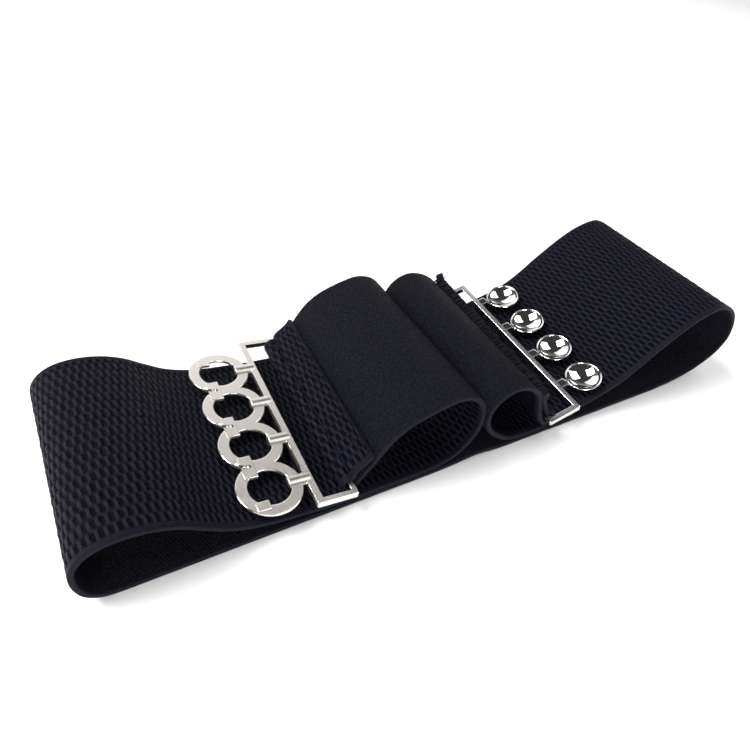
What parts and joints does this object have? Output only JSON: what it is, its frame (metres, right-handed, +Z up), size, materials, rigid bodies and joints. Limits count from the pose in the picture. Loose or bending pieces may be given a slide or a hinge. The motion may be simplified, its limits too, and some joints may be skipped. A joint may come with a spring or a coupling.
{
  "type": "elastic stretch belt",
  "caption": "Wide woven elastic belt lying folded and unfastened, with its ends sewn round the frames of a metal clasp: open rings on one half, hollow domes on the other.",
  "frame": {"origin": "middle of the belt's footprint, on the surface that it lies on", "axes": "+X along the belt from the ring half's fold to the dome half's fold, +Y across the band, +Z up"},
  "size_m": [0.2712, 0.0846, 0.0408],
  "materials": {
    "cloth": "matte ribbed elastic weave, nearly black with a navy tint",
    "satin_nickel": "satin warm nickel plating with brighter edges",
    "chrome": "polished, mirror bright on the domes"
  },
  "bodies": {
    "root": {"elastic_band": "cloth", "ring_clasp": "satin_nickel", "dome_clasp": "chrome"}
  },
  "joints": []
}
